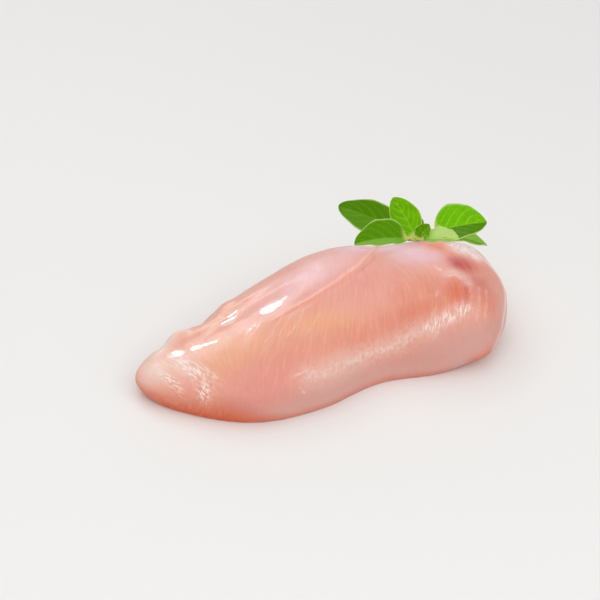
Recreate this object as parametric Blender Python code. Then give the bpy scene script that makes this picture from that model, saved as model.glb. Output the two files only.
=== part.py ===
"""A raw chicken breast fillet lying on its flat side, with a small sprig of oregano on its crest.

Metres, +Z up. The origin is on the flat base, +X runs along the fillet towards its thick end,
and the full flank looks along -Y.
"""
import math
from collections import namedtuple

import bmesh
import bpy
import numpy as np
from mathutils import Vector

# Fillet: its two ends, and how deep the flank runs down under its widest line
TIP_X = -0.0995
END_X = 0.0905
DROP = 0.028

# Fillet: profiles at six equal steps from the tip to the thick end
NEAR_REACH = (0.039, 0.0515, 0.045, 0.0355, 0.051, 0.069)
FAR_REACH = (0.025, 0.0265, 0.0385, 0.050, 0.047, 0.058)
CROWN_RISE = (0.0145, 0.019, 0.0255, 0.032, 0.0335, 0.050)
SPINE_Y = (0.005, 0.0035, 0.001, -0.001, -0.004, -0.006)
FLANK_Z = (0.009, 0.0105, 0.0105, 0.0095, 0.0145, 0.017)
CREST_SHIFT = (0.006, 0.006, 0.009, 0.013, 0.009, 0.004)
NEAR_CROWN_ROUNDNESS = (2.3, 2.3, 2.2, 2.0, 2.6, 3.0)
FAR_CROWN_ROUNDNESS = 2.3
NEAR_ROUNDNESS = 2.5
FAR_ROUNDNESS = 2.1

# How fast the relief of the upper side comes in from its rim and from its two ends
RELIEF_RISE = 2.5
RELIEF_ENDS = 1.6

# Tendon line between the thin back lobe and the main muscle, at equal steps of X
LINE_START_X = -0.040
LINE_END_X = 0.040
LINE_Y = (-0.0085, -0.0051, -0.0022, 0.0024, 0.0102, 0.0255)
CREASE_DEPTH = 0.0008
CREASE_WIDTH = 0.0035
CREASE_THIN_END = 0.4
CREASE_FADES = (0.33, 0.25)
CREASE_OVERRUN = 0.15

# Rounded swellings, hollows and folds of the upper side: X, Y, length, width, turn in degrees, rise
SWELLINGS = (
    (0.014, -0.025, 0.024, 0.013, 0, -0.0036),
    (0.006, 0.022, 0.024, 0.014, 0, 0.0008),
    (0.038, 0.022, 0.007, 0.009, 0, -0.0016),
    (0.050, -0.020, 0.006, 0.011, 0, -0.0016),
    (0.080, -0.003, 0.011, 0.013, 0, 0.0035),
    (-0.030, 0.004, 0.012, 0.006, 0, -0.0010),
    (-0.060, 0.004, 0.018, 0.005, 0, -0.0008),
    (-0.084, 0.010, 0.009, 0.0030, 22, 0.0010),
    (-0.071, 0.0145, 0.010, 0.0030, 16, 0.0011),
    (-0.058, 0.0125, 0.010, 0.0028, 18, 0.0010),
    (-0.048, 0.018, 0.010, 0.0030, 14, 0.0010),
    (-0.037, 0.016, 0.011, 0.0028, 14, 0.0008),
    (-0.063, 0.0045, 0.012, 0.0028, 14, 0.0006),
    (-0.044, 0.0075, 0.012, 0.0028, 13, 0.0006),
    (-0.026, 0.011, 0.012, 0.0028, 12, 0.0005),
    (-0.0755, 0.0155, 0.0045, 0.0060, 0, 0.0028),
    (-0.0835, 0.0155, 0.0035, 0.0060, 0, -0.0010),
    (-0.059, 0.020, 0.007, 0.007, 0, -0.0028),
    (-0.046, 0.024, 0.005, 0.007, 0, 0.0014),
)

# Small lip of loose meat low on the thick end
LIP_PLACE = (0.066, 0.009)
LIP_SIZE = (0.010, 0.006)
LIP_REACH = 0.0035

# Grid of the fillet's faces along, across and up
GRID = (60, 32, 16)

# Sprig: where its leaves meet, and its stem's route over the crest
NODE = (0.0567, 0.0170, 0.0405)
STEM_ROUTE = ((0.0437, 0.0255, 0.0404), (0.0497, 0.0210, 0.0408), NODE, (0.0612, 0.0158, 0.0412))
STEM_RADIUS = 0.0009
LEAF_THICKNESS = 0.0007
STALK_WIDTH = 0.0016
TIP_WIDTH = 0.0012
LEAF_GRID = (12, 4)
LEAF_BELLY = 0.8
LEAF_FULLNESS = 0.58
LEAF_WAVE = 0.0005
WAVES = 3
WAVE_SLANT = 1.5

# One leaf: its widest, the way its upper face looks, the share of its length that is stalk, the rise of
# its halves beside the midrib, and how far the midrib arches up and bends aside, as shares of its length
Leaf = namedtuple("Leaf", "name tip widest face stalk fold arch bend")
LEAVES = (
    Leaf("back_left", (0.0279, 0.0484, 0.0497), 0.0185, (-0.28, -0.43, 0.83), 0.22, 0.10, 0.02, 0.02),
    Leaf("front_left", (0.0253, 0.0240, 0.0422), 0.0170, (-0.12, -0.27, 0.96), 0.16, 0.62, 0.04, 0.04),
    Leaf("upright", (0.0504, 0.0320, 0.0586), 0.0152, (-0.48, -0.68, 0.48), 0.10, 0.20, -0.06, 0.02),
    Leaf("centre", (0.0632, 0.0165, 0.0484), 0.0080, (-0.55, -0.65, 0.50), 0.10, 0.45, -0.05, 0.00),
    Leaf("front_right", (0.0712, -0.0005, 0.0473), 0.0120, (-0.06, -0.14, 0.99), 0.16, 0.50, 0.02, 0.00),
    Leaf("right", (0.0912, 0.0080, 0.0472), 0.0215, (-0.15, -0.33, 0.93), 0.27, 0.45, 0.06, -0.02),
    Leaf("low_right", (0.0870, -0.0008, 0.0398), 0.0095, (0.10, -0.15, 0.98), 0.30, 0.20, 0.08, -0.045),
    Leaf("bud", (0.0622, 0.0225, 0.0481), 0.0045, (-0.45, -0.60, 0.60), 0.10, 0.40, 0.00, 0.00),
)


def clear_scene():
    for thing in list(bpy.data.objects):
        bpy.data.objects.remove(thing, do_unlink=True)


def make_material(name, colour, roughness):
    material = bpy.data.materials.new(name)
    material.use_nodes = True
    shader = material.node_tree.nodes["Principled BSDF"]
    shader.inputs["Base Color"].default_value = (*colour, 1)
    shader.inputs["Roughness"].default_value = roughness
    shader.inputs["Metallic"].default_value = 0
    return material


def new_object(name, mesh, material=None):
    piece = bpy.data.objects.new(name, mesh)
    bpy.context.collection.objects.link(piece)
    if material:
        mesh.materials.append(material)
    return piece


def smooth(values, share):
    """A smooth curve through equally spaced values, read at shares from 0 to 1."""
    given = np.asarray(values, float)
    last = len(given) - 1
    padded = np.concatenate([[2 * given[0] - given[1]], given, [2 * given[-1] - given[-2]]])
    place = np.clip(share, 0, 1) * last
    step = np.minimum(place.astype(int), last - 1)
    f = place - step
    a, b, c, d = (padded[step + i] for i in range(4))
    return 0.5 * (2 * b + (c - a) * f + (2 * a - 5 * b + 4 * c - d) * f**2 + (3 * b - a - 3 * c + d) * f**3)


def bell(distance, width):
    return np.exp(-((distance / width) ** 2))


def signed_power(value, exponent):
    return np.sign(value) * np.abs(value) ** exponent


def ball_grid(along, across, up):
    """A box's grid pushed out to a unit ball: points, and quads facing out."""
    index = {}
    points = []
    quads = []

    def vertex(i, j, k):
        if (i, j, k) not in index:
            shares = np.array([i / along, j / across, k / up]) * 2 - 1
            point = np.tan(shares * math.pi / 4)
            index[(i, j, k)] = len(points)
            points.append(point / np.linalg.norm(point))
        return index[(i, j, k)]

    def side(corners, flip):
        quads.append([vertex(*corner) for corner in (corners[::-1] if flip else corners)])

    for i in range(along):
        for j in range(across):
            for k in (0, up):
                side(((i, j, k), (i + 1, j, k), (i + 1, j + 1, k), (i, j + 1, k)), k == 0)
    for i in range(along):
        for k in range(up):
            for j in (0, across):
                side(((i, j, k), (i, j, k + 1), (i + 1, j, k + 1), (i + 1, j, k)), j == 0)
    for j in range(across):
        for k in range(up):
            for i in (0, along):
                side(((i, j, k), (i, j + 1, k), (i, j + 1, k + 1), (i, j, k + 1)), i == 0)
    return np.array(points), quads


def upper_relief(x, y):
    """How far the upper side stands above its plain crown: crease, swellings, hollows and folds."""
    share = (x - LINE_START_X) / (LINE_END_X - LINE_START_X)
    fade_in = np.clip(share / CREASE_FADES[0], 0, 1)
    fade_out = np.clip((1 + CREASE_OVERRUN - share) / CREASE_FADES[1], 0, 1)
    depth = CREASE_DEPTH * (CREASE_THIN_END + (1 - CREASE_THIN_END) * np.clip(share, 0, 1))
    rise = -depth * fade_in * fade_out * bell(y - smooth(LINE_Y, share), CREASE_WIDTH)
    for centre_x, centre_y, length, width, turn, height in SWELLINGS:
        forward, side = math.cos(math.radians(turn)), math.sin(math.radians(turn))
        along = (x - centre_x) * forward + (y - centre_y) * side
        across = (y - centre_y) * forward - (x - centre_x) * side
        rise = rise + height * bell(along, length) * bell(across, width)
    return rise


def fillet_points(ball):
    """The fillet's surface for directions of a unit ball: section by section, wide, crowned and flat below."""
    share = (ball[:, 0] + 1) / 2
    ring = np.sqrt(np.clip(1 - ball[:, 0] ** 2, 0, None))
    aside = ball[:, 1] / np.maximum(ring, 1e-6)
    above = ball[:, 2] / np.maximum(ring, 1e-6)
    is_near = aside < 0
    is_upper = above > 0
    crown = np.where(is_near, smooth(NEAR_CROWN_ROUNDNESS, share), FAR_CROWN_ROUNDNESS)
    roundness = np.where(is_upper, crown, np.where(is_near, NEAR_ROUNDNESS, FAR_ROUNDNESS))
    side = signed_power(aside, 2 / roundness)
    lift = signed_power(above, 2 / roundness)
    reach = np.where(is_near, smooth(NEAR_REACH, share), smooth(FAR_REACH, share))
    height = np.where(is_upper, smooth(CROWN_RISE, share), DROP)
    x = TIP_X + (END_X - TIP_X) * share
    y = smooth(SPINE_Y, share) + side * reach * ring
    y = y + np.where(is_upper, smooth(CREST_SHIFT, share) * lift * ring * (1 - np.abs(side)), 0)
    z = smooth(FLANK_Z, share) + lift * height * ring
    lip = bell(x - LIP_PLACE[0], LIP_SIZE[0]) * bell(z - LIP_PLACE[1], LIP_SIZE[1])
    y = y - np.where(is_near, LIP_REACH * lip, 0)
    on_crown = np.clip(lift * RELIEF_RISE, 0, 1) * np.clip(ring * RELIEF_ENDS, 0, 1)
    z = z + np.where(is_upper, upper_relief(x, y) * on_crown, 0)
    return np.column_stack([x, y, np.maximum(z, 0)])


def make_fillet(material):
    ball, quads = ball_grid(*GRID)
    mesh = bpy.data.meshes.new("chicken_breast")
    mesh.from_pydata(fillet_points(ball).tolist(), [], quads)
    body = bmesh.new()
    body.from_mesh(mesh)
    base = [face for face in body.faces if max(vertex.co.z for vertex in face.verts) < 1e-7]
    bmesh.ops.dissolve_faces(body, faces=base, use_verts=True)
    round_faces = [face for face in body.faces if len(face.verts) <= 4]
    bmesh.ops.triangulate(body, faces=round_faces)
    body.to_mesh(mesh)
    body.free()
    mesh.shade_smooth()
    return new_object("chicken_breast", mesh, material)


def leaf_half_width(share, leaf):
    """Half the leaf's width: a thin stalk, then an oval blade with a blunt point."""
    if share <= leaf.stalk:
        return STALK_WIDTH / 2
    blade = (share - leaf.stalk) / (1 - leaf.stalk)
    oval = abs(math.sin(math.pi * blade**LEAF_BELLY)) ** LEAF_FULLNESS
    return max(STALK_WIDTH / 2 * (1 - blade), TIP_WIDTH / 2, leaf.widest / 2 * oval)


def make_leaf(leaf):
    """A thin wavy leaf with its stalk at the sprig's node. Both faces are split into triangles alike."""
    base = Vector(NODE)
    run = Vector(leaf.tip) - base
    length = run.length
    forward = run.normalized()
    across = forward.cross(Vector(leaf.face)).normalized()
    normal = across.cross(forward)
    steps, columns = LEAF_GRID
    shape = bmesh.new()
    faces = []
    for level in (0.5, -0.5):
        rows = []
        for i in range(steps + 1):
            share = i / steps
            half = leaf_half_width(share, leaf)
            hump = 4 * share * (1 - share) * length
            middle = base + run * share + normal * (leaf.arch * hump) + across * (leaf.bend * hump)
            row = []
            for j in range(columns + 1):
                aside = j / columns * 2 - 1
                wave = LEAF_WAVE * math.sin(share * WAVES * 2 * math.pi + WAVE_SLANT * aside) * aside**2
                rise = leaf.fold * abs(aside) * half + wave + level * LEAF_THICKNESS
                row.append(shape.verts.new(middle + across * (aside * half) + normal * rise))
            rows.append(row)
        faces.append(rows)
    top, bottom = faces
    for i in range(steps):
        for j in range(columns):
            for rows, flip in ((top, False), (bottom, True)):
                a, b, c, d = rows[i][j], rows[i + 1][j], rows[i + 1][j + 1], rows[i][j + 1]
                for triangle in ((a, b, c), (a, c, d)):
                    shape.faces.new(triangle[::-1] if flip else triangle)
    rim = [(i, 0) for i in range(steps)] + [(steps, j) for j in range(columns)]
    rim += [(i, columns) for i in range(steps, 0, -1)] + [(0, j) for j in range(columns, 0, -1)]
    for (i, j), (m, n) in zip(rim, rim[1:] + rim[:1]):
        shape.faces.new((top[i][j], bottom[i][j], bottom[m][n]))
        shape.faces.new((top[i][j], bottom[m][n], top[m][n]))
    bmesh.ops.recalc_face_normals(shape, faces=shape.faces)
    mesh = bpy.data.meshes.new(leaf.name)
    shape.to_mesh(mesh)
    shape.free()
    return new_object(leaf.name, mesh)


def make_stem():
    """The sprig's short stem, a round rod that bends over the crest."""
    curve = bpy.data.curves.new("stem", "CURVE")
    curve.dimensions = "3D"
    curve.bevel_depth = STEM_RADIUS
    curve.bevel_resolution = 1
    curve.use_fill_caps = True
    route = curve.splines.new("POLY")
    route.points.add(len(STEM_ROUTE) - 1)
    for point, place in zip(route.points, STEM_ROUTE):
        point.co = (*place, 1)
    rod = new_object("stem", curve)
    mesh = bpy.data.meshes.new_from_object(rod.evaluated_get(bpy.context.evaluated_depsgraph_get()))
    bpy.data.objects.remove(rod, do_unlink=True)
    return mesh


def keep_outer_shell(mesh):
    """Fills sealed hollows and drops loose scraps: only the largest connected shell is kept."""
    shape = bmesh.new()
    shape.from_mesh(mesh)
    waiting = set(shape.verts)
    shells = []
    while waiting:
        shell = set()
        edge_of_shell = [waiting.pop()]
        while edge_of_shell:
            vertex = edge_of_shell.pop()
            shell.add(vertex)
            for edge in vertex.link_edges:
                other = edge.other_vert(vertex)
                if other in waiting:
                    waiting.remove(other)
                    edge_of_shell.append(other)
        shells.append(shell)
    shells.sort(key=len)
    extra = [vertex for shell in shells[:-1] for vertex in shell]
    bmesh.ops.delete(shape, geom=extra, context="VERTS")
    shape.to_mesh(mesh)
    shape.free()


def make_sprig(material):
    """One closed solid: the stem with every leaf joined to it by one union."""
    leaves = bpy.data.collections.new("leaves")
    for leaf in LEAVES:
        blade = make_leaf(leaf)
        bpy.context.collection.objects.unlink(blade)
        leaves.objects.link(blade)
    sprig = new_object("oregano_sprig", make_stem(), material)
    union = sprig.modifiers.new("union", "BOOLEAN")
    union.operation = "UNION"
    union.operand_type = "COLLECTION"
    union.collection = leaves
    union.solver = "EXACT"
    union.use_self = True
    joined = bpy.data.meshes.new_from_object(sprig.evaluated_get(bpy.context.evaluated_depsgraph_get()))
    keep_outer_shell(joined)
    sprig.modifiers.clear()
    sprig.data = joined
    for blade in list(leaves.objects):
        bpy.data.objects.remove(blade, do_unlink=True)
    bpy.data.collections.remove(leaves)
    return sprig


def main():
    clear_scene()
    flesh = make_material("raw_flesh", (0.83, 0.41, 0.31), 0.3)
    leaf_green = make_material("oregano_leaf", (0.14, 0.33, 0.02), 0.5)
    make_fillet(flesh)
    make_sprig(leaf_green)


main()
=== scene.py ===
"""A raw chicken breast fillet with a sprig of oregano on its crest: its looks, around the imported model.

Metres, +Z up. The fillet's thin tip is at -X, its thick end at +X, and its full flank looks along -Y.
"""
import math
from collections import namedtuple

import bmesh
import bpy
import numpy as np
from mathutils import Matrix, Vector, noise


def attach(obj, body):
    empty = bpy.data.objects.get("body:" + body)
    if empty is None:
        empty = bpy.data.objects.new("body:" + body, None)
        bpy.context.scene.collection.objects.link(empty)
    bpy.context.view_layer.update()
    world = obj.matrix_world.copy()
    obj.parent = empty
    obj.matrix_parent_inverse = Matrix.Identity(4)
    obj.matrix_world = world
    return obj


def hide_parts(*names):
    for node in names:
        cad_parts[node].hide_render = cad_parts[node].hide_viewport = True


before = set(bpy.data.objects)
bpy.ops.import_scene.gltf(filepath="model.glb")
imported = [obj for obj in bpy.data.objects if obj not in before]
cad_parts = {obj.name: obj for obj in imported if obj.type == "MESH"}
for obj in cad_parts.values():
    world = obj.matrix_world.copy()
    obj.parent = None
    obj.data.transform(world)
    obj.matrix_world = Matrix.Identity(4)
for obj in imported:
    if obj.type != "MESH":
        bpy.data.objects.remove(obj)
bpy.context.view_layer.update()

# Fillet: its two ends, and how deep the flank runs down under its widest line
TIP_X = -0.0995
END_X = 0.0905
DROP = 0.028

# Fillet: profiles at six equal steps from the tip to the thick end
NEAR_REACH = (0.039, 0.0515, 0.045, 0.0355, 0.051, 0.069)
FAR_REACH = (0.025, 0.0265, 0.0385, 0.050, 0.047, 0.058)
CROWN_RISE = (0.0145, 0.019, 0.0255, 0.032, 0.0335, 0.050)
SPINE_Y = (0.005, 0.0035, 0.001, -0.001, -0.004, -0.006)
FLANK_Z = (0.009, 0.0105, 0.0105, 0.0095, 0.0145, 0.017)
CREST_SHIFT = (0.006, 0.006, 0.009, 0.013, 0.009, 0.004)
NEAR_CROWN_ROUNDNESS = (2.3, 2.3, 2.2, 2.0, 2.6, 3.0)
FAR_CROWN_ROUNDNESS = 2.3
NEAR_ROUNDNESS = 2.5
FAR_ROUNDNESS = 2.1

# How fast the relief of the upper side comes in from its rim and from its two ends
RELIEF_RISE = 2.5
RELIEF_ENDS = 1.6

# Tendon line between the thin back lobe and the main muscle, at equal steps of X
LINE_START_X = -0.040
LINE_END_X = 0.040
LINE_Y = (-0.0085, -0.0051, -0.0022, 0.0024, 0.0102, 0.0255)
CREASE_DEPTH = 0.0008
CREASE_WIDTH = 0.0035
CREASE_THIN_END = 0.4
CREASE_FADES = (0.33, 0.25)
CREASE_OVERRUN = 0.15

# Rounded swellings, hollows and folds of the upper side: X, Y, length, width, turn in degrees, rise
SWELLINGS = (
    (0.014, -0.025, 0.024, 0.013, 0, -0.0036),
    (0.006, 0.022, 0.024, 0.014, 0, 0.0008),
    (0.038, 0.022, 0.007, 0.009, 0, -0.0016),
    (0.050, -0.020, 0.006, 0.011, 0, -0.0016),
    (0.080, -0.003, 0.011, 0.013, 0, 0.0035),
    (-0.030, 0.004, 0.012, 0.006, 0, -0.0010),
    (-0.060, 0.004, 0.018, 0.005, 0, -0.0008),
    (-0.084, 0.010, 0.009, 0.0030, 22, 0.0010),
    (-0.071, 0.0145, 0.010, 0.0030, 16, 0.0011),
    (-0.058, 0.0125, 0.010, 0.0028, 18, 0.0010),
    (-0.048, 0.018, 0.010, 0.0030, 14, 0.0010),
    (-0.037, 0.016, 0.011, 0.0028, 14, 0.0008),
    (-0.063, 0.0045, 0.012, 0.0028, 14, 0.0006),
    (-0.044, 0.0075, 0.012, 0.0028, 13, 0.0006),
    (-0.026, 0.011, 0.012, 0.0028, 12, 0.0005),
    (-0.0755, 0.0155, 0.0045, 0.0060, 0, 0.0028),
    (-0.0835, 0.0155, 0.0035, 0.0060, 0, -0.0010),
    (-0.059, 0.020, 0.007, 0.007, 0, -0.0028),
    (-0.046, 0.024, 0.005, 0.007, 0, 0.0014),
)

# Small lip of loose meat low on the thick end
LIP_PLACE = (0.066, 0.009)
LIP_SIZE = (0.010, 0.006)
LIP_REACH = 0.0035

# Grid of the fillet's faces along, across and up
GRID = (252, 124, 60)

# Tendon cord on the line: its X from thin to thick end, half width and height there, and how its ends fade
CORD_X = (-0.034, 0.037)
CORD_HALF_WIDTH = (0.0007, 0.0027)
CORD_HEIGHT = (0.0003, 0.0010)
CORD_ENDS = ((-0.05, 0.15), (0.98, 1.10))
CORD_MIN_Z = 0.02

# Tones of the meat that lie as patches: place in plan, half length and half width, turn in degrees, strength
Patch = namedtuple("Patch", "tone x y length width turn strength")
PATCHES = (
    Patch("lilac", -0.002, 0.014, 0.036, 0.011, 18, 0.62),
    Patch("lilac", 0.030, 0.025, 0.016, 0.008, 10, 1.00),
    Patch("lilac", 0.044, 0.017, 0.014, 0.007, -15, 1.00),
    Patch("lilac", 0.050, 0.006, 0.016, 0.010, -30, 0.95),
    Patch("rose", -0.002, -0.024, 0.010, 0.004, -10, 0.25),
    Patch("rose", 0.032, -0.029, 0.038, 0.010, 0, 0.60),
    Patch("rose", 0.044, -0.021, 0.018, 0.012, 0, 0.45),
    Patch("rose", 0.057, -0.028, 0.009, 0.010, 0, 0.95),
    Patch("rose", 0.069, -0.033, 0.007, 0.008, 0, 0.60),
    Patch("rose", 0.077, -0.014, 0.008, 0.012, 10, 0.40),
    Patch("mauve", 0.074, -0.030, 0.016, 0.012, -20, 0.80),
    Patch("pink", -0.084, -0.018, 0.012, 0.014, 20, 0.35),
    Patch("pink", -0.052, -0.037, 0.024, 0.012, 5, 0.60),
    Patch("pink", 0.014, -0.004, 0.022, 0.012, 10, 0.50),
    Patch("apricot", -0.050, -0.040, 0.016, 0.009, 5, 0.30),
    Patch("apricot", -0.045, -0.018, 0.045, 0.016, 5, 0.45),
    Patch("tan", -0.055, -0.014, 0.018, 0.009, 0, 0.45),
    Patch("tan", -0.010, -0.018, 0.018, 0.006, -12, 0.60),
    Patch("cream", -0.062, -0.003, 0.022, 0.007, -10, 0.50),
    Patch("cream", -0.052, 0.012, 0.030, 0.008, 12, 0.30),
    Patch("cream", 0.000, -0.012, 0.020, 0.008, 10, 0.20),
    # Milky film, whose whiteness at the tip and on the back edge's folds is partly a painted highlight
    Patch("milk_and_highlight", -0.093, 0.002, 0.009, 0.010, 0, 0.75),
    Patch("milk_and_highlight", -0.079, 0.014, 0.009, 0.004, 15, 0.70),
    Patch("milk_and_highlight", -0.079, -0.007, 0.011, 0.006, -65, 0.40),
    Patch("blush", 0.067, -0.012, 0.0085, 0.005, -72, 1.00),
    Patch("blush", 0.069, -0.025, 0.006, 0.005, 0, 0.40),
    Patch("shade", -0.052, -0.037, 0.024, 0.011, 5, 0.12),
    # Painted shadow under the leaves
    Patch("leaf_shadow", 0.064, 0.006, 0.008, 0.005, -55, 0.85),
    Patch("film", 0.0745, -0.001, 0.010, 0.006, -62, 1.00),
    # Wet spots: a thicker coat, and a painted glint of white over them
    Patch("wet", -0.079, 0.0035, 0.005, 0.0024, -18, 1.00),
    Patch("wet", -0.050, 0.006, 0.005, 0.0022, 0, 0.95),
    Patch("wet", -0.043, -0.005, 0.004, 0.0014, 5, 0.48),
    Patch("wet", -0.029, 0.003, 0.0066, 0.004, 12, 1.00),
    # Painted highlight dashes, broken into strokes along the fibres
    Patch("highlight_dash", -0.0875, -0.009, 0.0085, 0.0018, -72, 1.00),
    Patch("highlight_dash", -0.0765, -0.011, 0.012, 0.0034, -72, 1.00),
    Patch("highlight_dash", -0.0755, -0.024, 0.004, 0.003, -70, 1.00),
    Patch("highlight_dash", -0.0715, -0.016, 0.010, 0.002, -70, 0.55),
    Patch("highlight_dash", -0.048, 0.008, 0.005, 0.002, 0, 0.70),
    Patch("highlight_dash", -0.043, -0.005, 0.005, 0.0024, 5, 0.60),
)
PATCH_EDGE = 1.2

# Tones that run as streaks: half width, strength, and a middle line in plan or, with heights, in space
Streak = namedtuple("Streak", "tone half strength route")
# Wet streaks: a thicker coat, and a painted glint of white over them
WET_GLINT_STREAKS = (
    Streak("wet", 0.0009, 1.00, ((-0.090, 0.004), (-0.089, 0.0035))),
    Streak("wet", 0.0010, 0.80, ((-0.0835, 0.0105), (-0.080, 0.012), (-0.0765, 0.013))),
    Streak("wet", 0.0017, 1.00, ((-0.0715, 0.001), (-0.0685, 0.000))),
    Streak("wet", 0.0009, 1.00, ((-0.0685, 0.0005), (-0.0645, -0.001), (-0.0605, -0.002))),
    Streak("wet", 0.0007, 0.90, ((-0.049, 0.0095), (-0.044, 0.0105))),
    Streak("wet", 0.0010, 0.70, ((-0.025, 0.004), (-0.020, 0.005))),
)

# A painted highlight band along the flank: a soft left part and a narrower, splintered right part
LEFT_BAND = (
    (-0.028, -0.0395, 0.021), (-0.019, -0.040, 0.020), (-0.008, -0.037, 0.020), (0.003, -0.034, 0.019),
    (0.014, -0.033, 0.019), (0.021, -0.034, 0.0205), (0.028, -0.0345, 0.024), (0.035, -0.036, 0.027),
)
RIGHT_BAND = (
    (0.035, -0.036, 0.027), (0.043, -0.037, 0.030), (0.051, -0.037, 0.0325), (0.0565, -0.037, 0.0335),
)
SPLINTERS = ((0.0385, -0.0365, 0.028), *RIGHT_BAND[1:])
PAINTED_BAND_HIGHLIGHTS = (
    Streak("painted_sheen", 0.0060, 0.86, LEFT_BAND),
    Streak("painted_sheen", 0.0042, 0.66, RIGHT_BAND),
    # Painted highlight dashes and glints in and beside the band
    Streak("highlight_dash", 0.0030, 0.80, SPLINTERS),
    Streak("thread_and_glint", 0.0005, 0.80, ((-0.0345, -0.041, 0.018), (-0.032, -0.043, 0.0145))),
    Streak("thread_and_glint", 0.0004, 0.50, (
        (-0.035, -0.0385, 0.022), (-0.0315, -0.038, 0.0225), (-0.0285, -0.038, 0.0225),
    )),
    Streak("thread_and_glint", 0.0004, 0.50, ((0.0405, -0.033, 0.032), (0.0435, -0.0305, 0.034))),
    Streak("thread_and_glint", 0.0005, 0.50, ((0.038, -0.040, 0.023), (0.0405, -0.0395, 0.026))),
    Streak("thread_and_glint", 0.0005, 0.30, ((0.0465, -0.025), (0.0485, -0.0225))),
)

# Pale threads: three arcs round the thick end, four that fan out from the tendon line
THREADS = (
    Streak("thread_and_glint", 0.0005, 0.28, ((0.0645, -0.026), (0.062, -0.032), (0.059, -0.037))),
    Streak("thread_and_glint", 0.0005, 0.25, ((0.068, -0.029), (0.065, -0.035), (0.063, -0.0385), (0.0605, -0.0415))),
    Streak("thread_and_glint", 0.0005, 0.25, ((0.071, -0.0305), (0.0685, -0.0365), (0.0655, -0.041))),
    Streak("thread_and_glint", 0.0005, 0.30, (
        (-0.0165, -0.0075), (-0.0215, -0.013), (-0.026, -0.0165), (-0.030, -0.019),
    )),
    Streak("thread_and_glint", 0.0005, 0.25, ((-0.0265, -0.006), (-0.033, -0.011), (-0.037, -0.0145), (-0.041, -0.017))),
    Streak("thread_and_glint", 0.0004, 0.20, ((-0.0225, -0.0075), (-0.029, -0.013), (-0.0335, -0.0165))),
    Streak("thread_and_glint", 0.0004, 0.20, ((-0.010, -0.0125), (-0.017, -0.0185), (-0.0225, -0.0225))),
)

# The membrane on the thick end and painted glints on its edges, and the painted rim light round the thick end
MEMBRANE_STREAKS = (
    Streak("film", 0.0028, 0.90, ((0.070, 0.0045), (0.073, -0.001), (0.075, -0.006), (0.0765, -0.010))),
    Streak("film", 0.0022, 0.40, ((0.0575, -0.015), (0.061, -0.016), (0.0635, -0.020), (0.064, -0.025))),
    Streak("thread_and_glint", 0.0006, 0.40, ((0.0575, -0.017), (0.060, -0.0175), (0.062, -0.020), (0.0625, -0.0225))),
    Streak("thread_and_glint", 0.0007, 0.60, ((0.0545, -0.008), (0.055, -0.010), (0.0555, -0.0115))),
    # Painted rim light round the thick end
    Streak("rim", 0.0014, 0.90, (
        (0.078, -0.006, 0.040), (0.081, -0.010, 0.037), (0.0845, -0.014, 0.0335), (0.0865, -0.018, 0.0295),
        (0.084, -0.025, 0.0285), (0.082, -0.0305, 0.026), (0.079, -0.0345, 0.0215), (0.0755, -0.0375, 0.015),
        (0.071, -0.0415, 0.011), (0.068, -0.0435, 0.009),
    )),
)

# Other streaks: the pale fold at the tip's back edge, a painted highlight along the cord's middle, painted
# shade along the cord's lower side and in a groove, and painted shadow and shade in the corners under the
# leaves and low on the thick end
LINE_STREAKS = (
    # The pale fold at the tip's back edge: milky film, partly a painted highlight on the fold
    Streak("milk_and_highlight", 0.0032, 0.90, ((-0.088, 0.0095), (-0.082, 0.0125), (-0.076, 0.015), (-0.070, 0.015))),
    # Painted highlight along the cord's middle
    Streak("rim", 0.0011, 0.28, (
        (0.015, 0.006), (0.020, 0.008), (0.024, 0.011), (0.030, 0.0155), (0.0345, 0.0205),
    )),
    # Painted shade along the cord's lower side, and in a groove between the arcs
    Streak("shade", 0.0008, 0.25, ((0.030, 0.0105), (0.0255, 0.007), (0.0175, 0.003))),
    Streak("shade", 0.0010, 0.50, ((0.0615, -0.0275), (0.060, -0.033), (0.0575, -0.0365))),
    # Painted shadow under the leaves: a thin line under the front left leaf, a broader one under the right
    # ones
    Streak("leaf_shadow", 0.0011, 0.70, ((0.029, 0.023), (0.034, 0.023), (0.0385, 0.0235))),
    Streak("leaf_shadow", 0.0022, 0.80, ((0.0605, 0.0095), (0.065, 0.0025), (0.067, -0.003))),
    # Painted warm shade low on the thick end's flank
    Streak("low_edge_shade", 0.0036, 0.90, ((0.058, -0.0465, 0.006), (0.066, -0.0455, 0.0085))),
)
STREAKS = WET_GLINT_STREAKS + PAINTED_BAND_HIGHLIGHTS + THREADS + MEMBRANE_STREAKS + LINE_STREAKS

# Zones by place: how high patches begin, the pale flank, the cream tip, and painted warm shade low down
UPPER_Z = (0.006, 0.015)
FLANK_TOP_Z = (0.024, 0.034)
FLANK_TOP_X = (0.020, 0.050)
FLANK_FADE = 0.013
FLANK_OUT = (0.020, 0.038)
FLANK_X = (-0.090, -0.050)
TIP_X_FADE = (-0.092, -0.066)
TIP_CREAM = 0.8
NEAR_TIP_X = (-0.070, -0.035)
LOW_Z = 0.001
LOW_FADE = (0.006, 0.020)
LOW_SHARE = (0.40, 1.00)

# Fine relief: height and size of the soft lumps, of the back edge's wrinkles and of the membrane's bumps,
# and where the wrinkles and the bumps lie
LUMPS = ((0.00035, 0.016), (0.00016, 0.007))
WRINKLE = (0.0004, 0.0045)
WRINKLE_STRETCH = (0.7, 1.4, 1.0)
WRINKLE_Y = (0.016, 0.012)
WRINKLE_X = ((-0.095, -0.080), (-0.050, -0.030))
BUBBLE = (0.0006, 0.0032)
MEMBRANE = (0.071, 0.001)
MEMBRANE_SIZE = 0.010
RELIEF_Z = (0.001, 0.008)

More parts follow.
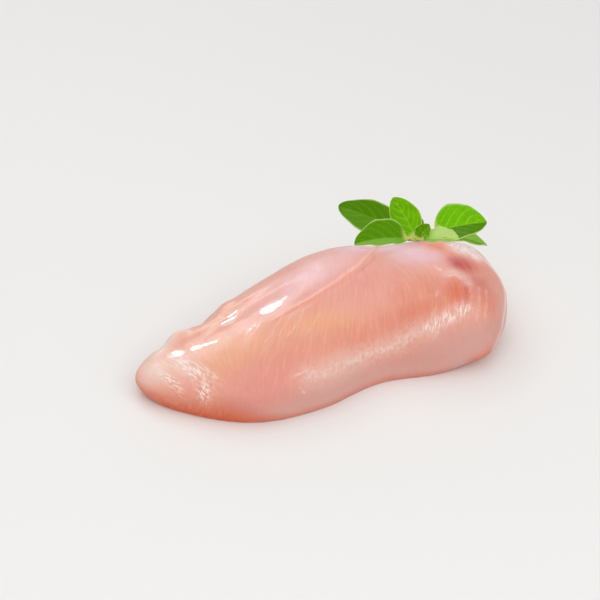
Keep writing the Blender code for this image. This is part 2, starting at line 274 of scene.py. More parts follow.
# Fibres: the point that they fan out from, their run near the tip, and the middle of the thick end's arcs
FAN_CENTRE = (0.075, 0.125)
FAN_SPREAD = 0.148
TIP_GRAIN = (0.95, 0.30)
TIP_JOINT = (-0.062, -0.005)
TIP_BLEND = 0.018
ARC_CENTRE = (0.008, -0.012)
ARC_JOINT = (0.030, -0.012)
ARC_BLEND = 0.015
GRAIN_LENGTH = 0.045

# Sprig: where its leaves meet, its stem's route over the crest, and what all leaves have alike
NODE = (0.0567, 0.0170, 0.0405)
STEM_ROUTE = ((0.0437, 0.0255, 0.0404), (0.0497, 0.0210, 0.0408), NODE, (0.0612, 0.0158, 0.0412))
STEM_RADIUS = 0.0009
STEM_STEPS = 24
LEAF_THICKNESS = 0.00035
STALK_WIDTH = 0.0016
TIP_WIDTH = 0.0007
LEAF_GRID = (88, 40)
LEAF_BELLY = 0.8
LEAF_FULLNESS = 0.58
LEAF_WAVE = 0.0005
WAVES = 3
WAVE_SLANT = 1.5
VEIN_PAIRS = 4
VEIN_SWEEP = 0.46
VEIN_CURVE = 1.3
VEIN_FADE = 0.6
VEIN_WIDTH = 0.09
MIDRIB_WIDTH = 0.05
QUILT_HEIGHT = 0.00028
QUILT_VALLEYS = (0.28, 0.16)
MIDRIB_DEPTH = 0.00030
MIDRIB_GROOVE = 0.09
MIDRIB_FADE = 0.4
MIDRIB_BLEND = 0.08
MARGIN_WIDTH = 0.05
BLADE_START = 0.12
PALE_START = 0.35

# One leaf: its tip, its widest, the way its upper face looks, the share of its length that is stalk, the
# rise of its halves beside the midrib, how far the midrib arches up and bends aside as shares of its
# length, and how bright its green is and how pale it is, each on the left and the right of its midrib;
# where the two halves differ, that is partly painted shade and a painted sheen on the folded leaf
Leaf = namedtuple("Leaf", "name tip widest face stalk fold arch bend bright pale")
LEAVES = (
    Leaf("back_left", (0.0279, 0.0484, 0.0497), 0.0185, (-0.28, -0.43, 0.83), 0.22, 0.10, 0.02, 0.02,
         (0.05, 0.00), (0.04, 0.00)),
    Leaf("front_left", (0.0253, 0.0240, 0.0422), 0.0170, (-0.12, -0.27, 0.96), 0.16, 0.62, 0.04, 0.04,
         (0.40, 0.15), (0.22, 0.00)),
    Leaf("upright", (0.0504, 0.0320, 0.0586), 0.0152, (-0.48, -0.68, 0.48), 0.10, 0.20, -0.06, 0.02,
         (0.60, 0.80), (0.00, 0.00)),
    Leaf("centre", (0.0632, 0.0165, 0.0484), 0.0080, (-0.55, -0.65, 0.50), 0.10, 0.45, -0.05, 0.00,
         (0.25, 0.40), (0.00, 0.00)),
    Leaf("front_right", (0.0712, -0.0005, 0.0473), 0.0120, (-0.06, -0.14, 0.99), 0.16, 0.50, 0.02, 0.00,
         (0.60, 0.35), (1.00, 0.45)),
    Leaf("right", (0.0912, 0.0080, 0.0472), 0.0215, (-0.15, -0.33, 0.93), 0.27, 0.45, 0.06, -0.02,
         (0.80, 0.05), (0.00, 0.00)),
    Leaf("low_right", (0.0870, -0.0008, 0.0398), 0.0095, (0.10, -0.15, 0.98), 0.30, 0.20, 0.08, -0.045,
         (0.35, 0.10), (0.25, 0.15)),
    Leaf("bud", (0.0622, 0.0225, 0.0481), 0.0045, (-0.45, -0.60, 0.60), 0.10, 0.40, 0.00, 0.00,
         (0.05, 0.05), (0.00, 0.00)),
)

# Camera: the ground point it looks at, its distance, direction and lens
AIM = (0.005, 0.045, 0.0)
CAMERA_DISTANCE = 1.173
CAMERA_AZIMUTH = -24.0
CAMERA_ELEVATION = 35.75
SENSOR = 36.0
LENS = 137.0

# Lights: azimuth and elevation of where each comes from, its distance, size, power, and whether it lights
# the meat itself or only shows in its wet film
Softbox = namedtuple("Softbox", "name azimuth elevation distance width height power lights_all")
SOFTBOXES = (
    Softbox("key_softbox", 128, 74, 1.3, 1.9, 1.9, 8.0, True),
    Softbox("back_softbox", 91, 42, 1.3, 0.52, 0.46, 8.5, False),
    Softbox("front_softbox", -88, 46, 1.3, 2.4, 0.9, 9.5, True),
    Softbox("backdrop", 62, 12, 1.8, 3.0, 0.9, 4.0, True),
)
WORLD_COLOUR = (1.0, 1.0, 1.0)
WORLD_STRENGTH = 0.38
FLOOR_SIZE = 4.0


def tone(red, green, blue):
    """A colour given as it looks on a screen, from 0 to 255, as linear light."""
    shares = np.array([red, green, blue]) / 255
    linear = np.where(shares <= 0.04045, shares / 12.92, ((shares + 0.055) / 1.055) ** 2.4)
    return (*linear.tolist(), 1.0)


PEACH = tone(239, 174, 156)
ROSE = tone(224, 122, 92)
LILAC = tone(244, 208, 221)
PINK = tone(234, 158, 150)
TAN = tone(246, 184, 140)
BLUSH = tone(190, 58, 62)
MAUVE = tone(223, 170, 160)
CREAM = tone(254, 213, 192)
# Painted warm shade along the bottom edge
LOW_EDGE_SHADE_TONE = tone(222, 104, 66)
APRICOT = tone(236, 156, 118)
# Painted shadow under the leaves
LEAF_SHADOW_TONE = tone(236, 136, 76)
CORD_TONE = tone(244, 168, 148)
SHADE = tone(204, 96, 76)
# Milky film, partly a painted highlight
MILK_AND_HIGHLIGHT = tone(252, 226, 216)
# Painted highlight of the band along the flank
PAINTED_SHEEN = tone(238, 206, 194)
# Pale threads, and the white of painted glints, dashes and wet spots
PALE_THREAD_AND_GLINT = tone(255, 242, 236)
FILM = tone(255, 244, 243)
# Painted rim light round the thick end, and a painted highlight along the cord's middle
RIM_LIGHT = tone(255, 236, 228)
SPECK = tone(160, 92, 82)

DARK_GREEN = tone(80, 132, 0)
BRIGHT_GREEN = tone(122, 200, 0)
GLAUCOUS = tone(206, 232, 142)
VEIN_GREEN = tone(168, 224, 60)
MARGIN_GREEN = tone(196, 222, 128)
STALK_GREEN = tone(200, 205, 110)


class Graph:
    """One material's nodes, with short calls to add and link them."""

    def __init__(self, name):
        self.material = bpy.data.materials.new(name)
        self.material.use_nodes = True
        self.tree = self.material.node_tree
        self.shader = self.tree.nodes["Principled BSDF"]

    def node(self, kind, **settings):
        made = self.tree.nodes.new(kind)
        for name, value in settings.items():
            setattr(made, name, value)
        return made

    def feed(self, socket, source):
        if isinstance(source, bpy.types.NodeSocket):
            self.tree.links.new(source, socket)
        else:
            socket.default_value = source

    def shade(self, **values):
        """Sets or links the shader's sockets, whose names are written with _ for each space."""
        for name, value in values.items():
            self.feed(self.shader.inputs[name.replace("_", " ")], value)

    def attribute(self, name):
        return self.node("ShaderNodeAttribute", attribute_name=name).outputs["Fac"]

    def place(self, name, scales=(1, 1, 1)):
        """A vector attribute, stretched along its three axes."""
        source = self.node("ShaderNodeAttribute", attribute_name=name)
        stretch = self.node("ShaderNodeVectorMath", operation="MULTIPLY")
        self.feed(stretch.inputs[0], source.outputs["Vector"])
        stretch.inputs[1].default_value = scales
        return stretch.outputs["Vector"]

    def noise(self, vector, scale=1.0, detail=2.0, roughness=0.5, distortion=0.0):
        made = self.node("ShaderNodeTexNoise")
        self.feed(made.inputs["Vector"], vector)
        made.inputs["Scale"].default_value = scale
        made.inputs["Detail"].default_value = detail
        made.inputs["Roughness"].default_value = roughness
        made.inputs["Distortion"].default_value = distortion
        return made.outputs["Fac"]

    def maths(self, operation, first, second=0.0, clamp=False):
        made = self.node("ShaderNodeMath", operation=operation, use_clamp=clamp)
        self.feed(made.inputs[0], first)
        self.feed(made.inputs[1], second)
        return made.outputs["Value"]

    def span(self, value, low, high, to_low=0.0, to_high=1.0):
        """The value carried smoothly from the range low to high onto another range."""
        made = self.node("ShaderNodeMapRange", interpolation_type="SMOOTHSTEP")
        self.feed(made.inputs["Value"], value)
        made.inputs["From Min"].default_value = low
        made.inputs["From Max"].default_value = high
        made.inputs["To Min"].default_value = to_low
        made.inputs["To Max"].default_value = to_high
        return made.outputs["Result"]

    def mix(self, share, first, second):
        made = self.node("ShaderNodeMix", data_type="RGBA")
        self.feed(made.inputs[0], share)
        self.feed(made.inputs[6], first)
        self.feed(made.inputs[7], second)
        return made.outputs[2]

    def bump(self, height, distance):
        made = self.node("ShaderNodeBump")
        made.inputs["Distance"].default_value = distance
        self.feed(made.inputs["Height"], height)
        return made.outputs["Normal"]


def smooth(values, share):
    """A smooth curve through equally spaced values, read at shares from 0 to 1."""
    given = np.asarray(values, float)
    last = len(given) - 1
    padded = np.concatenate([[2 * given[0] - given[1]], given, [2 * given[-1] - given[-2]]])
    place = np.clip(share, 0, 1) * last
    step = np.minimum(place.astype(int), last - 1)
    f = place - step
    a, b, c, d = (padded[step + i] for i in range(4))
    return 0.5 * (2 * b + (c - a) * f + (2 * a - 5 * b + 4 * c - d) * f**2 + (3 * b - a - 3 * c + d) * f**3)


def bell(distance, width):
    return np.exp(-((distance / width) ** 2))


def ease(value, low, high):
    """From 0 at low to 1 at high, smoothly."""
    share = np.clip((value - low) / (high - low), 0, 1)
    return share * share * (3 - 2 * share)


def signed_power(value, exponent):
    return np.sign(value) * np.abs(value) ** exponent


def lumps(points, size, seed):
    """Soft random bumps of about the given size, from -1 to 1, the same at each run."""
    shift = Vector((seed * 7.31, seed * 3.17, seed * 5.93))
    return np.array([noise.noise(Vector(point) / size + shift) for point in points])


def ball_grid(counts):
    """A box's grid pushed out to a unit ball: points, and quads facing out."""
    lattice = []
    quads = []
    start = 0
    for axis in range(3):
        first, second = (other for other in range(3) if other != axis)
        rows, columns = counts[first], counts[second]
        a, b = np.meshgrid(np.arange(rows + 1), np.arange(columns + 1), indexing="ij")
        corner = (np.arange(rows)[:, None] * (columns + 1) + np.arange(columns)).ravel()
        faces = np.column_stack([corner, corner + columns + 1, corner + columns + 2, corner + 1])
        for level in (0, counts[axis]):
            places = np.zeros((a.size, 3), int)
            places[:, first] = a.ravel()
            places[:, second] = b.ravel()
            places[:, axis] = level
            faces_out = (level > 0) == (axis != 1)
            quads.append((faces if faces_out else faces[:, ::-1]) + start)
            lattice.append(places)
            start += a.size
    cells, number = np.unique(np.concatenate(lattice), axis=0, return_inverse=True)
    points = np.tan((cells / np.array(counts) * 2 - 1) * math.pi / 4)
    points /= np.linalg.norm(points, axis=1)[:, None]
    return points, number.ravel()[np.concatenate(quads)]


def line_share(x):
    return (x - LINE_START_X) / (LINE_END_X - LINE_START_X)


def upper_relief(x, y):
    """How far the upper side stands above its plain crown: crease, swellings, hollows and folds."""
    share = line_share(x)
    fade_in = np.clip(share / CREASE_FADES[0], 0, 1)
    fade_out = np.clip((1 + CREASE_OVERRUN - share) / CREASE_FADES[1], 0, 1)
    depth = CREASE_DEPTH * (CREASE_THIN_END + (1 - CREASE_THIN_END) * np.clip(share, 0, 1))
    rise = -depth * fade_in * fade_out * bell(y - smooth(LINE_Y, share), CREASE_WIDTH)
    for centre_x, centre_y, length, width, turn, height in SWELLINGS:
        forward, side = math.cos(math.radians(turn)), math.sin(math.radians(turn))
        along = (x - centre_x) * forward + (y - centre_y) * side
        across = (y - centre_y) * forward - (x - centre_x) * side
        rise = rise + height * bell(along, length) * bell(across, width)
    return rise


def fillet_points(ball):
    """The fillet's surface for directions of a unit ball: wide, crowned sections that are flat below."""
    share = (ball[:, 0] + 1) / 2
    ring = np.sqrt(np.clip(1 - ball[:, 0] ** 2, 0, None))
    aside = ball[:, 1] / np.maximum(ring, 1e-6)
    above = ball[:, 2] / np.maximum(ring, 1e-6)
    is_near = aside < 0
    is_upper = above > 0
    crown = np.where(is_near, smooth(NEAR_CROWN_ROUNDNESS, share), FAR_CROWN_ROUNDNESS)
    roundness = np.where(is_upper, crown, np.where(is_near, NEAR_ROUNDNESS, FAR_ROUNDNESS))
    side = signed_power(aside, 2 / roundness)
    lift = signed_power(above, 2 / roundness)
    reach = np.where(is_near, smooth(NEAR_REACH, share), smooth(FAR_REACH, share))
    height = np.where(is_upper, smooth(CROWN_RISE, share), DROP)
    x = TIP_X + (END_X - TIP_X) * share
    y = smooth(SPINE_Y, share) + side * reach * ring
    y = y + np.where(is_upper, smooth(CREST_SHIFT, share) * lift * ring * (1 - np.abs(side)), 0)
    z = smooth(FLANK_Z, share) + lift * height * ring
    lip = bell(x - LIP_PLACE[0], LIP_SIZE[0]) * bell(z - LIP_PLACE[1], LIP_SIZE[1])
    y = y - np.where(is_near, LIP_REACH * lip, 0)
    on_crown = np.clip(lift * RELIEF_RISE, 0, 1) * np.clip(ring * RELIEF_ENDS, 0, 1)
    z = z + np.where(is_upper, upper_relief(x, y) * on_crown, 0)
    return np.column_stack([x, y, np.maximum(z, 0)])


def fan_grain(x, y):
    return FAN_SPREAD * np.arctan2(x - FAN_CENTRE[0], FAN_CENTRE[1] - y)


def tip_grain(x, y):
    return TIP_GRAIN[0] * x + TIP_GRAIN[1] * y


def arc_grain(x, y):
    return np.hypot(x - ARC_CENTRE[0], y - ARC_CENTRE[1])


def grain(points, ball):
    """For each point, how far it lies across the fibres and along them."""
    x, y = points[:, 0], points[:, 1]
    across = fan_grain(x, y)
    for other, joint, blend in ((tip_grain, TIP_JOINT, -TIP_BLEND), (arc_grain, ARC_JOINT, ARC_BLEND)):
        offset = fan_grain(*joint) - other(*joint)
        share = ease(x, joint[0] - blend, joint[0] + blend)
        across = across + (other(x, y) + offset - across) * share
    along = np.arctan2(ball[:, 2], ball[:, 1]) * GRAIN_LENGTH
    return np.column_stack([across, along, np.zeros(len(x))])


def near_route(points, route, half):
    """1 on a line of straight pieces, 0 away from it; a line of X and Y alone is followed in plan."""
    places = points[:, :len(route[0])]
    mask = np.zeros(len(points))
    for start, end in zip(route, route[1:]):
        run = np.subtract(end, start)
        share = np.clip((places - start) @ run / (run @ run), 0, 1)
        away = np.linalg.norm(places - start - np.outer(share, run), axis=1)
        mask = np.maximum(mask, bell(away, half))
    return mask


def cord_mask(x, y):
    """1 on the tendon cord's middle line, 0 beside it and beyond its ends."""
    share = (x - CORD_X[0]) / (CORD_X[1] - CORD_X[0])
    half = CORD_HALF_WIDTH[0] + (CORD_HALF_WIDTH[1] - CORD_HALF_WIDTH[0]) * np.clip(share, 0, 1)
    ends = ease(share, *CORD_ENDS[0]) * (1 - ease(share, *CORD_ENDS[1]))
    return bell(y - smooth(LINE_Y, line_share(x)), half) * ends


def fine_relief(points):
    """How far the surface stands out of the plain form: the cord, soft lumps, wrinkles and the membrane."""
    x, y, z = points.T
    share = np.clip((x - CORD_X[0]) / (CORD_X[1] - CORD_X[0]), 0, 1)
    cord = (CORD_HEIGHT[0] + (CORD_HEIGHT[1] - CORD_HEIGHT[0]) * share) * cord_mask(x, y) * (z > CORD_MIN_Z)
    broad = sum(height * lumps(points, size, seed) for seed, (height, size) in enumerate(LUMPS, 1))
    at_edge = bell(y - WRINKLE_Y[0], WRINKLE_Y[1]) * ease(x, *WRINKLE_X[0]) * (1 - ease(x, *WRINKLE_X[1]))
    wrinkles = WRINKLE[0] * at_edge * lumps(points * WRINKLE_STRETCH, WRINKLE[1], 3)
    membrane = bell(x - MEMBRANE[0], MEMBRANE_SIZE) * bell(y - MEMBRANE[1], MEMBRANE_SIZE)
    bubbles = BUBBLE[0] * membrane * lumps(points, BUBBLE[1], 4)
    return (cord + broad + wrinkles + bubbles) * ease(z, *RELIEF_Z)


def patch_mask(patch, x, y):
    """The patch's strength at its middle, fading out past its half length and half width."""
    turn = math.radians(patch.turn)
    along = ((x - patch.x) * math.cos(turn) + (y - patch.y) * math.sin(turn)) / patch.length
    across = ((y - patch.y) * math.cos(turn) - (x - patch.x) * math.sin(turn)) / patch.width
    return patch.strength * np.exp(-((along**2 + across**2) ** PATCH_EDGE))


def zone_masks(points):
    """Where each tone of the meat lies, from 0 to 1."""
    x, y, z = points.T
    upper = ease(z, *UPPER_Z)
    masks = {}
    for patch in PATCHES:
        masks[patch.tone] = np.maximum(masks.get(patch.tone, 0), patch_mask(patch, x, y) * upper)
    for streak in STREAKS:
        in_plan = len(streak.route[0]) == 2
        here = streak.strength * near_route(points, streak.route, streak.half) * (upper if in_plan else 1)
        masks[streak.tone] = np.maximum(masks.get(streak.tone, 0), here)
    top = FLANK_TOP_Z[0] + (FLANK_TOP_Z[1] - FLANK_TOP_Z[0]) * ease(x, *FLANK_TOP_X)
    flank = ease(top - z, 0.0, FLANK_FADE) * ease(-y, *FLANK_OUT) * ease(x, *FLANK_X)
    masks["mauve"] = np.maximum(masks["mauve"], flank)
    masks["cream"] = np.maximum(masks["cream"], TIP_CREAM * (1 - ease(x, *TIP_X_FADE)))
    near_tip = 1 - ease(x, *NEAR_TIP_X)
    fade = LOW_FADE[0] + (LOW_FADE[1] - LOW_FADE[0]) * near_tip
    share = LOW_SHARE[0] + (LOW_SHARE[1] - LOW_SHARE[0]) * near_tip
    # Painted warm shade low down, higher and stronger towards the tip
    masks["low_edge_shade"] = np.maximum(masks["low_edge_shade"], share * (1 - ease(z, LOW_Z, fade)))
    masks["cord"] = cord_mask(x, y) * upper
    return masks


def add_attributes(mesh, floats, vectors):
    for name, values in floats.items():
        mesh.attributes.new(name, "FLOAT", "POINT").data.foreach_set("value", np.asarray(values, np.float32))
    for name, values in vectors.items():
        flat = np.asarray(values, np.float32).ravel()
        mesh.attributes.new(name, "FLOAT_VECTOR", "POINT").data.foreach_set("vector", flat)


def add_piece(name, mesh, material, node):
    """A piece of the object that stands for a CAD node and rides on its body."""
    piece = bpy.data.objects.new(name, mesh)
    bpy.context.scene.collection.objects.link(piece)
    mesh.materials.append(material)
    mesh.shade_smooth()
    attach(piece, "root")
    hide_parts(node)
    return piece


def meat_tones(graph, place):
    """Peach clouded with rose, the zones' tones, then the cord, painted shade in deep lines and a painted rim
    light.
    """
    clouds = graph.noise(place, scale=55, detail=3)
    uneven = graph.span(graph.noise(place, scale=140, detail=2), 0.3, 0.7, 0.75, 1.0)
    colour = graph.mix(graph.span(clouds, 0.35, 0.70, 0.0, 0.25), PEACH, ROSE)
    for name, tint in (("mauve", MAUVE), ("cream", CREAM), ("apricot", APRICOT), ("tan", TAN), ("pink", PINK),
                       ("rose", ROSE), ("low_edge_shade", LOW_EDGE_SHADE_TONE)):
        colour = graph.mix(graph.attribute(name), colour, tint)
    for name, tint in (("lilac", LILAC), ("milk_and_highlight", MILK_AND_HIGHLIGHT), ("blush", BLUSH), ("leaf_shadow", LEAF_SHADOW_TONE), ("film", FILM)):
        colour = graph.mix(graph.maths("MULTIPLY", graph.attribute(name), uneven), colour, tint)
    for name, tint in (("cord", CORD_TONE), ("shade", SHADE), ("rim", RIM_LIGHT)):
        colour = graph.mix(graph.attribute(name), colour, tint)
    return colour


def pale_marks(graph, place):
    """Painted highlights of the wet film and pale threads, broken by noise: band, fibre dashes, glints,
    spots.
    """
    strokes = graph.span(graph.noise(graph.place("grain", (1000, 150, 1)), detail=2), 0.45, 0.56)
    crumbs = graph.noise(place, scale=520, detail=4, roughness=0.65, distortion=0.6)
    splinters = graph.noise(graph.place("grain", (760, 260, 1)), detail=3, roughness=0.65, distortion=0.4)
    # The painted highlight band: a haze, and splintered painted highlights where it is strongest
    ragged = graph.maths("ADD", graph.attribute("painted_sheen"), splinters)
    haze = graph.maths("MULTIPLY", graph.attribute("painted_sheen"), graph.span(crumbs, 0.30, 0.65, 0.25, 0.80))
    band = graph.maths("ADD", haze, graph.span(ragged, 1.25, 1.50, 0.0, 0.60), clamp=True)
    # Painted highlight dashes, as strokes along the fibres
    dashes = graph.maths("MULTIPLY", graph.attribute("highlight_dash"), strokes)
    # Pale threads, and painted glints by the band and on the membrane's edges
    threads_and_glints = graph.maths("MULTIPLY", graph.attribute("thread_and_glint"), graph.span(crumbs, 0.36, 0.60, 0.25, 1.0))
    wet = graph.span(graph.maths("ADD", graph.attribute("wet"), crumbs), 0.85, 1.15)
    return band, dashes, threads_and_glints, wet


def flesh_material():
    """Wet raw meat: tones by zone, fine fibres, light that goes in a little, and a thin wet film."""
    graph = Graph("raw_flesh")
    place = graph.place("place")
    fibres = graph.noise(graph.place("grain", (900, 70, 1)), detail=3, roughness=0.6)
    threads = graph.noise(graph.place("grain", (1500, 130, 1)), detail=2)
    band, dashes, threads_and_glints, wet = pale_marks(graph, place)
    dots = graph.span(graph.noise(place, scale=1000, detail=2), 0.54, 0.68, 0.0, 0.6)
    specks = graph.maths("MULTIPLY", graph.attribute("film"), dots)
    fleshy = graph.maths("SUBTRACT", 1.0, graph.maths("MULTIPLY", graph.attribute("mauve"), 0.7))
    pale_fibres = graph.maths("MULTIPLY", fleshy, graph.span(fibres, 0.42, 0.72, 0.0, 0.16))
    rosy_threads = graph.span(threads, 0.48, 0.75, 0.0, 0.14)
    # A painted glint of white over the wet spots
    painted_wet_glints = graph.maths("MULTIPLY", wet, 0.35)

    colour = meat_tones(graph, place)
    # Painted highlights go over the tones here: glints, the band, dashes and the wet spots' glint
    for share, tint in ((threads_and_glints, PALE_THREAD_AND_GLINT), (band, PAINTED_SHEEN), (dashes, PALE_THREAD_AND_GLINT), (specks, SPECK),
                        (painted_wet_glints, PALE_THREAD_AND_GLINT), (pale_fibres, CREAM), (rosy_threads, ROSE)):
        colour = graph.mix(share, colour, tint)

    relief = graph.maths("ADD", graph.maths("MULTIPLY", fibres, 0.7), graph.maths("MULTIPLY", threads, 0.3))
    ripples = graph.noise(graph.place("grain", (420, 70, 1)), detail=2)
    graph.shade(
        Base_Color=colour,
        Roughness=0.36,
        IOR=1.5,
        Specular_IOR_Level=0.15,
        Sheen_Weight=0.05,
        Sheen_Roughness=0.35,
        Sheen_Tint=tone(255, 226, 214),
        Subsurface_Weight=0.35,
        Subsurface_Radius=(1.0, 0.35, 0.2),
        Subsurface_Scale=0.004,
        Coat_Weight=graph.maths("ADD", wet, 0.06, clamp=True),
        Coat_Roughness=0.11,
        Coat_IOR=1.5,
        Normal=graph.bump(relief, 0.00014),
        Coat_Normal=graph.bump(ripples, 0.00016),
    )
    return graph.material


def make_fillet():
    ball, quads = ball_grid(GRID)
    points = fillet_points(ball)
    quads = quads[points[quads][:, :, 2].max(axis=1) > 1e-7]
    used, numbers = np.unique(quads, return_inverse=True)
    points, ball = points[used], ball[used]
    mesh = bpy.data.meshes.new("chicken_breast")
    mesh.from_pydata(points.tolist(), [], numbers.reshape(quads.shape).tolist())
    shape = bmesh.new()
    shape.from_mesh(mesh)
    bmesh.ops.holes_fill(shape, edges=[edge for edge in shape.edges if edge.is_boundary], sides=0)
    shape.to_mesh(mesh)
    shape.free()
    normals = np.empty(len(points) * 3, np.float32)
    mesh.vertices.foreach_get("normal", normals)
    raised = points + normals.reshape(-1, 3) * fine_relief(points)[:, None]
    raised[:, 2] = np.maximum(raised[:, 2], 0)
    mesh.vertices.foreach_set("co", raised.ravel())
    mesh.update()
    add_attributes(mesh, zone_masks(points), {"grain": grain(points, ball), "place": points})
    return add_piece("fillet", mesh, flesh_material(), "chicken_breast")


def leaf_half_width(share, leaf):
    """Half the leaf's width: a thin stalk, then an oval blade with a blunt point."""
    blade = np.clip((share - leaf.stalk) / (1 - leaf.stalk), 0, 1)
    oval = np.abs(np.sin(math.pi * blade**LEAF_BELLY)) ** LEAF_FULLNESS
    wide = np.maximum(np.maximum(STALK_WIDTH / 2 * (1 - blade), TIP_WIDTH / 2), leaf.widest / 2 * oval)
    return np.where(share <= leaf.stalk, STALK_WIDTH / 2, wide)


def leaf_material():
    """A fresh leaf: green that pales along its veins and rim, with a satin face."""
    graph = Graph("oregano_leaf")
    place = graph.place("place")
    mottle = graph.noise(place, scale=600, detail=3)
    # Brightness and paleness per half of a leaf: partly each leaf's own green, partly painted shade and sheen
    colour = graph.mix(graph.attribute("bright"), DARK_GREEN, BRIGHT_GREEN)
    pale = graph.maths("MULTIPLY", graph.attribute("pale"), graph.span(mottle, 0.3, 0.65, 0.7, 1.0))
    colour = graph.mix(pale, colour, GLAUCOUS)
    vein_share = graph.span(graph.attribute("bright"), 0.0, 0.8, 0.15, 0.6)
    vein = graph.maths("MULTIPLY", graph.attribute("vein"), vein_share)
    colour = graph.mix(vein, colour, VEIN_GREEN)
    colour = graph.mix(graph.attribute("rim"), colour, MARGIN_GREEN)
    colour = graph.mix(graph.attribute("stalk"), colour, STALK_GREEN)
    colour = graph.mix(graph.span(mottle, 0.40, 0.65, 0.0, 0.18), colour, DARK_GREEN)
    graph.shade(
        Base_Color=colour,
        Roughness=0.45,
        IOR=1.45,
        Specular_IOR_Level=0.06,
        Subsurface_Weight=0.25,
        Subsurface_Radius=(0.6, 1.0, 0.2),
        Subsurface_Scale=0.001,
        Normal=graph.bump(mottle, 0.00008),
    )
    return graph.material


def make_leaf(leaf, material):
    """A thin wavy leaf with its stalk at the sprig's node, quilted between its veins."""
    base = Vector(NODE)
    run = Vector(leaf.tip) - base
    length = run.length
    forward = run.normalized()
    across = forward.cross(Vector(leaf.face)).normalized()
    normal = across.cross(forward)
    steps, columns = LEAF_GRID
    share, aside = np.meshgrid(np.linspace(0, 1, steps + 1), np.linspace(-1, 1, columns + 1), indexing="ij")
    share, aside = share.ravel(), aside.ravel()
    half = leaf_half_width(share, leaf)
    hump = 4 * share * (1 - share) * length
    blade = np.clip((share - leaf.stalk) / (1 - leaf.stalk), 0, 1)
    on_blade = ease(blade, 0.0, BLADE_START)
    vein_place = (blade - VEIN_SWEEP * np.abs(aside) ** VEIN_CURVE) * (VEIN_PAIRS + 1)
    from_vein = np.abs(vein_place - np.round(vein_place))
    vein = bell(from_vein, VEIN_WIDTH) * (1 - VEIN_FADE * np.abs(aside)) * on_blade
    midrib = bell(aside, MIDRIB_WIDTH + 0.3 * (1 - on_blade)) * (1 - MIDRIB_FADE * blade)
    pillow = (1 - bell(from_vein, QUILT_VALLEYS[0])) * (1 - bell(aside, QUILT_VALLEYS[1]))
    quilt = (QUILT_HEIGHT * pillow - MIDRIB_DEPTH * bell(aside, MIDRIB_GROOVE)) * on_blade
    wave = LEAF_WAVE * np.sin(share * WAVES * 2 * math.pi + WAVE_SLANT * aside) * aside**2
    rise = leaf.fold * np.abs(aside) * half + wave + quilt
    middle = np.outer(share, np.array(run)) + np.array(base)
    middle += np.outer(leaf.arch * hump + rise, np.array(normal))
    middle += np.outer(leaf.bend * hump + aside * half, np.array(across))
    thick = np.outer(np.full(len(share), LEAF_THICKNESS / 2), np.array(normal))
    points = np.concatenate([middle + thick, middle - thick])
    corner = (np.arange(steps)[:, None] * (columns + 1) + np.arange(columns)).ravel()
    top = np.column_stack([corner, corner + columns + 1, corner + columns + 2, corner + 1])
    rim = [i * (columns + 1) for i in range(steps)]
    rim += [steps * (columns + 1) + j for j in range(columns)]
    rim += [i * (columns + 1) + columns for i in range(steps, 0, -1)]
    rim += list(range(columns, 0, -1))
    rim = np.array(rim)
    after = np.roll(rim, -1)
    side = np.column_stack([rim, rim + len(share), after + len(share), after])
    faces = np.concatenate([top[:, ::-1], top + len(share), side])
    mesh = bpy.data.meshes.new("leaf_" + leaf.name)
    mesh.from_pydata(points.tolist(), [], faces.tolist())
    shape = bmesh.new()
    shape.from_mesh(mesh)
    bmesh.ops.recalc_face_normals(shape, faces=shape.faces)
    shape.to_mesh(mesh)
    shape.free()
    on_right = ease(aside, -MIDRIB_BLEND, MIDRIB_BLEND)
    masks = {
        "vein": np.maximum(vein, midrib),
        "rim": ease(np.abs(aside), 1 - 2 * MARGIN_WIDTH, 1.0) * on_blade,
        "stalk": 1 - on_blade,
        "bright": leaf.bright[0] + (leaf.bright[1] - leaf.bright[0]) * on_right,
        "pale": (leaf.pale[0] + (leaf.pale[1] - leaf.pale[0]) * on_right) * ease(blade, 0.0, PALE_START),
    }
    doubled = {name: np.concatenate([values, values]) for name, values in masks.items()}
    add_attributes(mesh, doubled, {"place": points})
    piece = add_piece("leaf_" + leaf.name, mesh, material, "oregano_sprig")
    # Thin leaves let light through, so they cast no shade on the meat and throw no green on it
    piece.visible_shadow = False
    piece.visible_diffuse = False
    return piece


def stem_material():
    graph = Graph("oregano_stem")
    streaks = graph.noise(graph.node("ShaderNodeTexCoord").outputs["Object"], scale=900, detail=2)
    graph.shade(
        Base_Color=graph.mix(graph.span(streaks, 0.3, 0.7), STALK_GREEN, DARK_GREEN),
        Roughness=0.5,
        Normal=graph.bump(streaks, 0.0001),
    )
    return graph.material


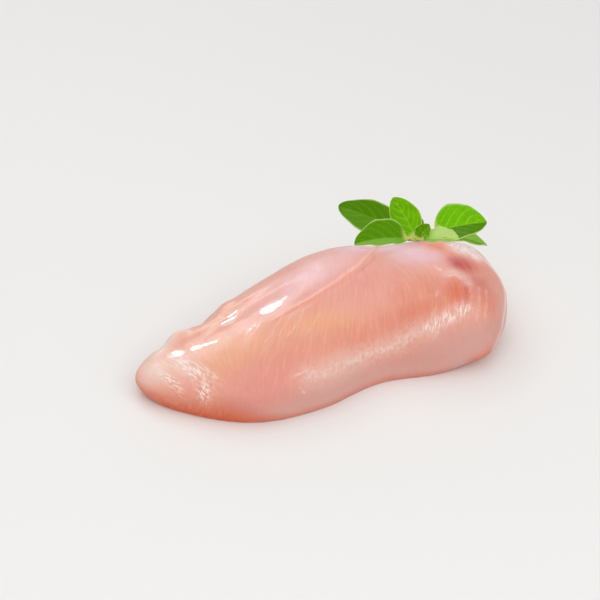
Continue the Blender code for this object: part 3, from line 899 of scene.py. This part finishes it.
def make_stem():
    """The sprig's short stem, a round rod that bends over the crest."""
    curve = bpy.data.curves.new("stem", "CURVE")
    curve.dimensions = "3D"
    curve.bevel_depth = STEM_RADIUS
    curve.bevel_resolution = 4
    curve.use_fill_caps = True
    route = curve.splines.new("POLY")
    shares = np.linspace(0, 1, STEM_STEPS + 1)
    places = [smooth([point[axis] for point in STEM_ROUTE], shares) for axis in range(3)]
    route.points.add(STEM_STEPS)
    for point, place in zip(route.points, np.column_stack(places)):
        point.co = (*place, 1)
    rod = bpy.data.objects.new("stem_curve", curve)
    bpy.context.scene.collection.objects.link(rod)
    mesh = bpy.data.meshes.new_from_object(rod.evaluated_get(bpy.context.evaluated_depsgraph_get()))
    bpy.data.objects.remove(rod, do_unlink=True)
    return add_piece("stem", mesh, stem_material(), "oregano_sprig")


def direction(azimuth, elevation):
    a, e = math.radians(azimuth), math.radians(elevation)
    return Vector((math.cos(a) * math.cos(e), math.sin(a) * math.cos(e), math.sin(e)))


def make_lights():
    for box in SOFTBOXES:
        light = bpy.data.lights.new(box.name, "AREA")
        light.shape = "RECTANGLE"
        light.size = box.width
        light.size_y = box.height
        light.energy = box.power
        lamp = bpy.data.objects.new(box.name, light)
        bpy.context.scene.collection.objects.link(lamp)
        towards = direction(box.azimuth, box.elevation)
        lamp.location = towards * box.distance
        lamp.rotation_euler = towards.to_track_quat("Z", "Y").to_euler()
        lamp.visible_diffuse = box.lights_all
    world = bpy.data.worlds.new("studio")
    world.use_nodes = True
    background = world.node_tree.nodes["Background"]
    background.inputs["Color"].default_value = (*WORLD_COLOUR, 1)
    background.inputs["Strength"].default_value = WORLD_STRENGTH
    bpy.context.scene.world = world


def make_floor():
    mesh = bpy.data.meshes.new("floor")
    half = FLOOR_SIZE / 2
    corners = [(-half, -half, 0), (half, -half, 0), (half, half, 0), (-half, half, 0)]
    mesh.from_pydata(corners, [], [(0, 1, 2, 3)])
    floor = bpy.data.objects.new("floor", mesh)
    bpy.context.scene.collection.objects.link(floor)
    graph = Graph("floor")
    graph.shade(Base_Color=tone(244, 243, 241), Roughness=0.7)
    mesh.materials.append(graph.material)


def make_camera():
    data = bpy.data.cameras.new("camera")
    data.sensor_width = SENSOR
    data.lens = LENS
    camera = bpy.data.objects.new("camera", data)
    bpy.context.scene.collection.objects.link(camera)
    back = direction(CAMERA_AZIMUTH - 90, CAMERA_ELEVATION)
    camera.location = Vector(AIM) + back * CAMERA_DISTANCE
    camera.rotation_euler = back.to_track_quat("Z", "Y").to_euler()
    bpy.context.scene.camera = camera


def main():
    bpy.context.scene.view_settings.view_transform = "Standard"
    make_fillet()
    green = leaf_material()
    for leaf in LEAVES:
        make_leaf(leaf, green)
    make_stem()
    make_lights()
    make_floor()
    make_camera()


main()
